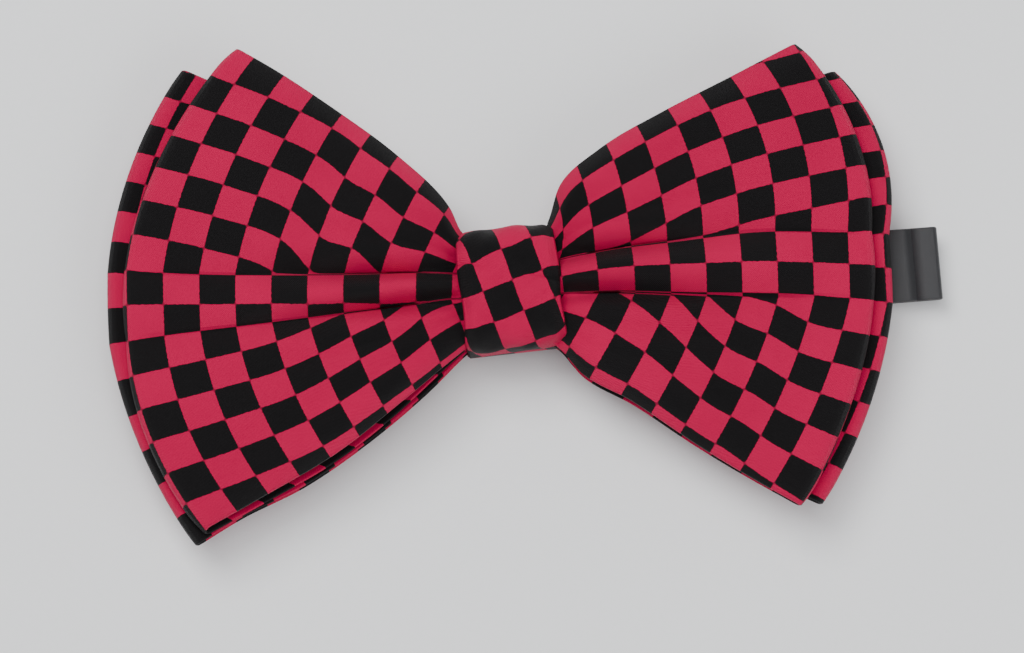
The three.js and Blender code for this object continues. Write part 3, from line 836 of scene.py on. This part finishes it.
def knot_cloth(material):
    """The strip wound round the middle: crowned in front, drawn in at both ends, with slanting creases."""
    thick = KNOT_WALL
    outline, run, whole = knot_outline(KNOT_HALF - thick / 2, thick / 2, KNOT_DEPTH - thick / 2, 3.4, 120)
    along = np.linspace(-1, 1, 33)
    x = KNOT_LENGTH / 2 * np.sin(along * math.pi / 2 * 0.96) / math.sin(math.pi / 2 * 0.96)
    centre = np.array([0, (KNOT_DEPTH) / 2])
    grid = np.zeros((len(outline), len(x), 3))
    signed = np.where(run < whole / 2, -run, whole - run)
    out = outline - centre
    reach = np.linalg.norm(out, axis=1, keepdims=True)
    front = smooth(4, 12, outline[:, 1])
    for j, place in enumerate(x):
        end = abs(place) / (KNOT_LENGTH / 2)
        crown = 0.35 * (1 - end**2) * front - 0.75 * smooth(0.8, 1.0, end) * front
        slant = np.sin(0.62 * signed + 0.9 * place) * 0.16 + np.sin(1.5 * signed - 1.1 * place + 1) * 0.07
        tuck = -0.55 * np.exp(-(((signed - 2.6 + 0.32 * place) / 0.7) ** 2)) * smooth(0.2, 0.9, end)
        lift = crown + (slant + tuck) * front
        ring = outline + out / reach * lift[:, None]
        grid[:, j, 0] = place * (1 + 0.02 * np.sin(0.5 * signed))
        grid[:, j, 1:] = ring
    position = np.stack([grid[..., 0], np.repeat(signed[:, None], len(x), axis=1)], axis=2)
    turn = KNOT_WEAVE - KNOT_LEAN
    plan = turned(position, turn)
    start = lean([[-2.9, 2.3, 0]] @ np.array(Matrix.Rotation(2 * KNOT_LEAN, 3, "Z")))[0]
    origin = turned(start, turn)
    weave = (plan - origin) / KNOT_SQUARE + np.array([1.5, 0.5])
    flat = grid.reshape(-1, 3)
    return cloth_ring("knot_wrap_cloth", lean(flat).reshape(grid.shape), weave, thick, material)


def knot_liner(material):
    """The interlining under the knot's front and sides."""
    half, top, foot, corner = KNOT_HALF - 1.35, KNOT_DEPTH - 1.35, 3.1, 2.1
    arc = [math.pi / 2 * k / 8 for k in range(9)]
    path = [(half, foot), (half, foot + 2.5)]
    path += [(half - corner + corner * math.cos(a), top - corner + corner * math.sin(a)) for a in arc]
    path += [(0.0, top)]
    path += [(-y, z) for y, z in reversed(path[:-1])]
    points = lean([(0.0, y, z) for y, z in path])
    side = lean([(1.0, 0.0, 0.0)])[0]
    return swept("knot_liner", points, side, rounded_bar(KNOT_LENGTH / 2 - 1, 0.18, 0.15), material)


# --- Stitching -----------------------------------------------------------------------------------------


def stitch_tree():
    """Stitches in a row, each a short arched piece of thread."""
    if "stitch_row" in bpy.data.node_groups:
        return bpy.data.node_groups["stitch_row"]
    tree = bpy.data.node_groups.new("stitch_row", "GeometryNodeTree")
    face = tree.interface
    face.new_socket("Geometry", in_out="INPUT", socket_type="NodeSocketGeometry")
    for label, kind in (
        ("Count", "NodeSocketInt"),
        ("Start", "NodeSocketVector"),
        ("Step", "NodeSocketVector"),
        ("Span", "NodeSocketVector"),
        ("Arch", "NodeSocketVector"),
        ("Thread", "NodeSocketFloat"),
        ("Material", "NodeSocketMaterial"),
    ):
        face.new_socket(label, in_out="INPUT", socket_type=kind)
    face.new_socket("Geometry", in_out="OUTPUT", socket_type="NodeSocketGeometry")
    n = Nodes(tree)
    source, result = n.add("NodeGroupInput"), n.add("NodeGroupOutput")
    line = n.add("GeometryNodeMeshLine", mode="OFFSET")
    n.join(source.outputs["Count"], line.inputs["Count"])
    n.join(source.outputs["Start"], line.inputs["Start Location"])
    n.join(source.outputs["Step"], line.inputs["Offset"])
    bend = n.add("GeometryNodeCurveQuadraticBezier")
    bend.inputs["Resolution"].default_value = 6
    n.join(source.outputs["Arch"], bend.inputs["Middle"])
    n.join(source.outputs["Span"], bend.inputs["End"])
    bend.inputs["Start"].default_value = (0, 0, 0)
    ring = n.add("GeometryNodeCurvePrimitiveCircle")
    ring.inputs["Resolution"].default_value = 6
    n.join(source.outputs["Thread"], ring.inputs["Radius"])
    tube = n.add("GeometryNodeCurveToMesh")
    tube.inputs["Fill Caps"].default_value = True
    n.join(bend.outputs[0], tube.inputs["Curve"])
    n.join(ring.outputs[0], tube.inputs["Profile Curve"])
    place = n.add("GeometryNodeInstanceOnPoints")
    n.join(line.outputs[0], place.inputs["Points"])
    n.join(tube.outputs[0], place.inputs["Instance"])
    real = n.add("GeometryNodeRealizeInstances")
    n.join(place.outputs[0], real.inputs[0])
    paint = n.add("GeometryNodeSetMaterial")
    n.join(real.outputs[0], paint.inputs["Geometry"])
    n.join(source.outputs["Material"], paint.inputs["Material"])
    n.join(paint.outputs[0], result.inputs[0])
    return tree


def binding_tree():
    """Turns of thread side by side round the gathered cloth."""
    if "thread_binding" in bpy.data.node_groups:
        return bpy.data.node_groups["thread_binding"]
    tree = bpy.data.node_groups.new("thread_binding", "GeometryNodeTree")
    face = tree.interface
    face.new_socket("Geometry", in_out="INPUT", socket_type="NodeSocketGeometry")
    for label, kind in (
        ("Turns", "NodeSocketInt"),
        ("Pitch", "NodeSocketFloat"),
        ("Width", "NodeSocketFloat"),
        ("Height", "NodeSocketFloat"),
        ("Corner", "NodeSocketFloat"),
        ("Thread", "NodeSocketFloat"),
        ("Material", "NodeSocketMaterial"),
    ):
        face.new_socket(label, in_out="INPUT", socket_type=kind)
    face.new_socket("Geometry", in_out="OUTPUT", socket_type="NodeSocketGeometry")
    n = Nodes(tree)
    source, result = n.add("NodeGroupInput"), n.add("NodeGroupOutput")
    box = n.add("GeometryNodeCurvePrimitiveQuadrilateral")
    n.join(source.outputs["Width"], box.inputs["Width"])
    n.join(source.outputs["Height"], box.inputs["Height"])
    round_off = n.add("GeometryNodeFilletCurve", mode="POLY")
    round_off.inputs["Count"].default_value = 5
    n.join(box.outputs[0], round_off.inputs["Curve"])
    n.join(source.outputs["Corner"], round_off.inputs["Radius"])
    ring = n.add("GeometryNodeCurvePrimitiveCircle")
    ring.inputs["Resolution"].default_value = 6
    n.join(source.outputs["Thread"], ring.inputs["Radius"])
    tube = n.add("GeometryNodeCurveToMesh")
    n.join(round_off.outputs[0], tube.inputs["Curve"])
    n.join(ring.outputs[0], tube.inputs["Profile Curve"])
    line = n.add("GeometryNodeMeshLine", mode="OFFSET")
    offset = n.add("ShaderNodeCombineXYZ")
    n.join(source.outputs["Pitch"], offset.inputs[2])
    n.join(source.outputs["Turns"], line.inputs["Count"])
    n.join(offset.outputs[0], line.inputs["Offset"])
    place = n.add("GeometryNodeInstanceOnPoints")
    n.join(line.outputs[0], place.inputs["Points"])
    n.join(tube.outputs[0], place.inputs["Instance"])
    real = n.add("GeometryNodeRealizeInstances")
    n.join(place.outputs[0], real.inputs[0])
    paint = n.add("GeometryNodeSetMaterial")
    n.join(real.outputs[0], paint.inputs["Geometry"])
    n.join(source.outputs["Material"], paint.inputs["Material"])
    n.join(paint.outputs[0], result.inputs[0])
    return tree


def grown(name, tree, values, place=None):
    """A plain mesh grown by a geometry tree with these inputs, moved by the matrix place."""
    seed = bpy.data.objects.new(name + "_seed", bpy.data.meshes.new(name + "_seed"))
    bpy.context.scene.collection.objects.link(seed)
    modifier = seed.modifiers.new("grow", "NODES")
    modifier.node_group = tree
    for item in tree.interface.items_tree:
        if item.item_type == "SOCKET" and item.in_out == "INPUT" and item.name in values:
            modifier[item.identifier] = values[item.name]
    graph = bpy.context.evaluated_depsgraph_get()
    mesh = bpy.data.meshes.new_from_object(seed.evaluated_get(graph))
    bpy.data.objects.remove(seed)
    mesh.name = name
    if place is not None:
        mesh.transform(place)
    shape = bmesh.new()
    shape.from_mesh(mesh)
    if shape.calc_volume(signed=True) < 0:
        bmesh.ops.reverse_faces(shape, faces=shape.faces)
    shape.to_mesh(mesh)
    shape.free()
    mesh.polygons.foreach_set("use_smooth", np.ones(len(mesh.polygons), bool))
    piece = bpy.data.objects.new(name, mesh)
    bpy.context.scene.collection.objects.link(piece)
    return piece


def tacking(node, name, body, across, along, band):
    """A row of satin stitches in place of a CAD tack; across and along are the tack's own directions."""
    low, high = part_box(node)
    centre = (low + high) / 2
    count = band.stitches
    span = Vector(along) * 0.0012
    run = Vector(across) * 0.0088
    step = run / (count - 1)
    values = {
        "Count": count,
        "Start": tuple(centre - run / 2 - span / 2),
        "Step": tuple(step),
        "Span": tuple(span),
        "Arch": tuple(span / 2 + Vector((0, 0, 0.0003))),
        "Thread": band.thread / 2,
        "Material": sewing_thread(),
    }
    piece = grown(name, stitch_tree(), values)
    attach(piece, body)
    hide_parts(node)
    return piece


class BOWTIE_OT_knot(bpy.types.Operator):
    """Make the knot: its wound cloth, its interlining and the binding thread inside"""

    bl_idname = "bowtie.knot"
    bl_label = "Knot"

    def execute(self, context):
        cloth, band = context.scene.bowtie_cloth, context.scene.bowtie_band
        wrap = knot_cloth(checked_satin(cloth))
        liner = knot_liner(stiffener())
        low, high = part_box("gather_thread")
        half = 7.7
        values = {
            "Turns": 8,
            "Pitch": 0.00036,
            "Width": (2 * half - 0.4) * MM,
            "Height": (high.z - low.z) - 0.0004,
            "Corner": 0.0009,
            "Thread": band.thread / 2,
            "Material": sewing_thread(),
        }
        centre = (low + high) / 2
        stand = Matrix.Rotation(math.pi / 2, 4, "Z") @ Matrix.Rotation(math.pi / 2, 4, "X")
        place = Matrix.Translation(centre) @ Matrix.Rotation(KNOT_LEAN, 4, "Z") @ stand
        place = place @ Matrix.Translation((0, 0, -3.5 * 0.00036))
        thread = grown("gather_binding", binding_tree(), values, place)
        for piece, node, slot in (
            (wrap, "knot_wrap", "check_satin"),
            (liner, "knot_interlining", "interlining"),
            (thread, "gather_thread", "thread"),
        ):
            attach(piece, "bow")
            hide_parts(node)
        return {"FINISHED"}


# --- Neck band -----------------------------------------------------------------------------------------

BAND_HALF, BAND_PLY = 6.0, 0.6
ROOT_X, NEAR_X, FAR_X, HOOK_X = 8.45, 70.0, -60.0, 46.0
PLY_X, PLY_END_X, SLIDE_TRAVEL = 43.0, -31.4, 25.0
# Where the flat runs hand over to the root and to the two folds.
INSIDE_END_X, ROOT_END_X, NEAR_BEND_X, FAR_BEND_X = 6.2, 11.5, 66, -56
INSIDE_Z, INNER_END_Z, MIDDLE_Z, OUTER_Z = 1.4, 0.3, -0.6, -1.5
LAST_Z, HOOK_Z, TURN = -3.5, -2.5, 1.0
RING_X, STRAP_END_Z, TAB = 38.0, 0.3, 10.0
STRAP_ROOT = np.array([-10.85, -0.87, 0.0])


def ribbon(name, along, root, route, body=None, blend=None):
    """A run of band: route holds (distance along, height) points of its middle. blend, given as (bodies, start, end),
    is not used.
    """
    across = BAND_ACROSS if along is BAND_ALONG else STRAP_ACROSS
    route = np.asarray(route, float)
    step = np.concatenate([[0], np.cumsum(np.linalg.norm(np.diff(route, axis=0), axis=1))])
    at = np.unique(np.concatenate([step, np.linspace(0, step[-1], max(4, int(step[-1] / 1.5)))]))
    x, z = np.interp(at, step, route[:, 0]), np.interp(at, step, route[:, 1])
    sag = 0.04 * np.sin(x * 0.55 + z) * (np.abs(np.gradient(z, at)) < 0.3)
    points = root + x[:, None] * along + (z + sag)[:, None] * np.array([0, 0, 1.0])
    settings = bpy.context.scene.bowtie_band
    section = rounded_bar(BAND_HALF, BAND_PLY / 2, 0.28, 4)
    piece = swept(name, points, across, section, band_ribbon(settings))
    if body:
        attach(piece, body)
    else:
        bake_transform(piece)
    return piece


def half_turn(x, z, radius, side, upwards):
    """Points of a half circle in the band's side view, bulging towards side."""
    angles = np.linspace(-math.pi / 2, math.pi / 2, 13) * (1 if upwards else -1)
    return [(x + side * radius * math.cos(a), z + radius * math.sin(a)) for a in angles]


def on_band(x, z):
    return tuple(x * BAND_ALONG + np.array([0, 0, z]))


class BOWTIE_OT_band(bpy.types.Operator):
    """Make the black neck band, run by run, with its folds and its stitched ends"""

    bl_idname = "bowtie.band"
    bl_label = "Neck band"

    def execute(self, context):
        band = context.scene.bowtie_band
        origin = np.zeros(3)

        def inner_z(x):
            return INSIDE_Z + (INNER_END_Z - INSIDE_Z) * (x - ROOT_X) / (NEAR_X - 0.15 - ROOT_X)

        inside = ribbon("band_inside", BAND_ALONG, origin, [(-9.4, INSIDE_Z), (INSIDE_END_X, INSIDE_Z)], "bow")
        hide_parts("band_anchor")
        ribbon(
            "band_right_root",
            BAND_ALONG,
            origin,
            [(INSIDE_END_X, INSIDE_Z), (ROOT_X, INSIDE_Z), (ROOT_END_X, inner_z(ROOT_END_X))],
            blend=(("bow", "right_strap_inner"), on_band(7.2, INSIDE_Z), on_band(9.8, INSIDE_Z)),
        )
        run = ribbon(
            "band_run_inner", BAND_ALONG, origin, [(ROOT_END_X, inner_z(ROOT_END_X)), (NEAR_BEND_X, inner_z(NEAR_BEND_X))], "right_strap_inner"
        )
        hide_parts("right_band_inner")
        radius = (INNER_END_Z - MIDDLE_Z) / 2
        route = [(NEAR_BEND_X, inner_z(NEAR_BEND_X))] + half_turn(NEAR_X - 0.45, MIDDLE_Z + radius, radius, 1, False) + [(NEAR_BEND_X, MIDDLE_Z)]
        ribbon(
            "band_fold_near",
            BAND_ALONG,
            origin,
            route,
            blend=(("right_strap_inner", "right_strap_middle"), on_band(NEAR_X, 0.05), on_band(NEAR_X, -0.35)),
        )
        run = ribbon("band_run_middle", BAND_ALONG, origin, [(NEAR_BEND_X, MIDDLE_Z), (FAR_BEND_X, MIDDLE_Z)], "right_strap_middle")
        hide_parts("right_band_middle")
        radius = (MIDDLE_Z - OUTER_Z) / 2
        turn = half_turn(FAR_X + 0.45, OUTER_Z + radius, radius, -1, False)
        route = [(FAR_BEND_X, MIDDLE_Z)] + turn + [(-57.5, -1.65)]
        ribbon(
            "band_fold_far",
            BAND_ALONG,
            origin,
            route,
            blend=(("right_strap_middle", "right_strap_outer"), on_band(FAR_X, -0.9), on_band(FAR_X, -1.2)),
        )
        slope = [(-57.5 + 11.65 * t, -1.65 - 1.85 * float(smooth(0, 1, t))) for t in np.linspace(0, 1, 7)]
        run = ribbon(
            "band_run_outer",
            BAND_ALONG,
            origin,
            slope + [(HOOK_X - 0.2, LAST_Z)],
            blend=(("right_strap_outer", "hook_end"), on_band(-20, LAST_Z), on_band(42, LAST_Z)),
        )
        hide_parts("right_band_outer")
        turn = half_turn(HOOK_X, HOOK_Z, TURN, 1, True) + [(PLY_X, HOOK_Z + TURN)]
        ribbon("band_hook_turn", BAND_ALONG, origin, turn, "hook_end")
        route = [(PLY_X, HOOK_Z + TURN), (PLY_END_X, HOOK_Z + TURN)]
        piece = ribbon("band_return_ply", BAND_ALONG, origin, route, "hook_end")
        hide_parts("band_return")
        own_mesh(piece)

        # The left strap, and the ply sewn back from the ring.
        def strap_z(x):
            return INSIDE_Z + (STRAP_END_Z - INSIDE_Z) * x / (RING_X - 0.3)

        def on_strap(x, z):
            return tuple(STRAP_ROOT + x * STRAP_ALONG + np.array([0, 0, z]))

        ribbon(
            "band_left_root",
            STRAP_ALONG,
            STRAP_ROOT,
            [(-1.2, INSIDE_Z), (0, INSIDE_Z), (3, strap_z(3))],
            blend=(("bow", "left_strap"), on_strap(-1.0, INSIDE_Z), on_strap(1.2, INSIDE_Z)),
        )
        route = [(3, strap_z(3)), (RING_X - 0.3, STRAP_END_Z)]
        route += half_turn(RING_X, STRAP_END_Z + TURN, TURN, 1, True) + [(RING_X - TAB, STRAP_END_Z + 2 * TURN)]
        strap = ribbon("band_run_left", STRAP_ALONG, STRAP_ROOT, route, "left_strap")
        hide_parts("left_band", "ring_tab")

        tacking("anchor_tack_left", "anchor_stitches_left", "bow", BAND_ACROSS, BAND_ALONG, band)
        tacking("anchor_tack_right", "anchor_stitches_right", "bow", BAND_ACROSS, BAND_ALONG, band)
        tacking("adjuster_bartack", "adjuster_stitches", "adjuster", BAND_ACROSS, BAND_ALONG, band)
        tacking("ring_bartack", "ring_stitches", "left_strap", STRAP_ACROSS, STRAP_ALONG, band)
        return {"FINISHED"}


class BOWTIE_OT_metal(bpy.types.Operator):
    """Give the hook, the ring and the adjuster their nickel plate"""

    bl_idname = "bowtie.metal"
    bl_label = "Metal"

    def execute(self, context):
        plate = nickel_plate(context.scene.bowtie_band)
        for node in ("hook", "slide_adjuster", "ring"):
            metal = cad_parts[node]
            for slot in metal.material_slots:
                slot.material = plate
            if not metal.material_slots:
                metal.data.materials.append(plate)
        return {"FINISHED"}


# --- Stage ---------------------------------------------------------------------------------------------


# The camera sensor in millimetres, and the width in metres that it takes in at the knot.
SENSOR_WIDTH, VIEW_WIDTH = 36, 0.166


class BOWTIE_OT_stage(bpy.types.Operator):
    """Make the floor, the soft lights and the camera"""

    bl_idname = "bowtie.stage"
    bl_label = "Stage"

    def execute(self, context):
        stage = context.scene.bowtie_stage
        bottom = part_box("slide_adjuster")[0].z
        mesh = bpy.data.meshes.new("floor")
        half = 1.2
        corners = [(-half, -half, bottom), (half, -half, bottom), (half, half, bottom), (-half, half, bottom)]
        mesh.from_pydata(corners, [], [(0, 1, 2, 3)])
        floor = bpy.data.objects.new("floor", mesh)
        context.scene.collection.objects.link(floor)
        material, n, shader = new_material("card_floor")
        place = n.add("ShaderNodeTexCoord").outputs["Object"]
        grain = n.noise(place, 900.0, 3.0, 0.6)
        base = tuple(stage.floor)
        n.join(n.mix(grain, tuple(c * 0.97 for c in base) + (1,), base + (1,)), shader.inputs["Base Color"])
        shader.inputs["Roughness"].default_value = 0.75
        mesh.materials.append(material)

        aim = Vector((0.0003, -0.0054, 0.004))
        lights = (
            ("key", (-0.25, 0.28, 0.75), 0.45, 4.6),
            ("fill", (0.45, -0.35, 0.6), 0.6, 2.2),
            ("top", (0.02, 0.05, 1.0), 0.5, 3.4),
        )
        for name, place, size, power in lights:
            lamp = bpy.data.lights.new(name, "AREA")
            lamp.shape = "DISK"
            lamp.size = size
            lamp.energy = power
            light = bpy.data.objects.new(name, lamp)
            light.location = place
            light.rotation_euler = (Vector(place) - aim).to_track_quat("Z", "Y").to_euler()
            context.scene.collection.objects.link(light)
        world = bpy.data.worlds.new("studio")
        world.use_nodes = True
        world.node_tree.nodes["Background"].inputs[0].default_value = (0.95, 0.97, 1.0, 1)
        world.node_tree.nodes["Background"].inputs[1].default_value = 0.35
        context.scene.world = world

        camera_data = bpy.data.cameras.new("camera")
        camera_data.sensor_width = SENSOR_WIDTH
        camera_data.lens = SENSOR_WIDTH * stage.distance / VIEW_WIDTH
        camera = bpy.data.objects.new("camera", camera_data)
        away = Vector((0, -math.cos(stage.elevation), math.sin(stage.elevation)))
        camera.location = aim + away * stage.distance
        camera.rotation_euler = away.to_track_quat("Z", "Y").to_euler()
        context.scene.collection.objects.link(camera)
        context.scene.camera = camera
        return {"FINISHED"}


class BOWTIE_PT_panel(bpy.types.Panel):
    """Sizes, colours and steps of the bow tie"""

    bl_idname = "BOWTIE_PT_panel"
    bl_label = "Bow Tie"
    bl_space_type = "VIEW_3D"
    bl_region_type = "UI"
    bl_category = "Bow Tie"

    def draw(self, context):
        scene = context.scene
        for title, settings in (
            ("Cloth", scene.bowtie_cloth),
            ("Band", scene.bowtie_band),
            ("Stage", scene.bowtie_stage),
        ):
            box = self.layout.box()
            box.label(text=title)
            for name in type(settings).__annotations__:
                box.prop(settings, name)
        for step in STEPS:
            self.layout.operator(step.bl_idname)


SETTINGS = (ClothSettings, BandSettings, StageSettings)
STEPS = (BOWTIE_OT_bows, BOWTIE_OT_knot, BOWTIE_OT_band, BOWTIE_OT_metal, BOWTIE_OT_stage)


def register():
    for kind in (*SETTINGS, *STEPS, BOWTIE_PT_panel):
        bpy.utils.register_class(kind)
    bpy.types.Scene.bowtie_cloth = PointerProperty(type=ClothSettings)
    bpy.types.Scene.bowtie_band = PointerProperty(type=BandSettings)
    bpy.types.Scene.bowtie_stage = PointerProperty(type=StageSettings)


def unregister():
    for name in ("bowtie_stage", "bowtie_band", "bowtie_cloth"):
        delattr(bpy.types.Scene, name)
    for kind in reversed((*SETTINGS, *STEPS, BOWTIE_PT_panel)):
        bpy.utils.unregister_class(kind)


def main():
    register()
    for step in STEPS:
        group, call = step.bl_idname.split(".")
        getattr(getattr(bpy.ops, group), call)()


if __name__ == "__main__":
    main()
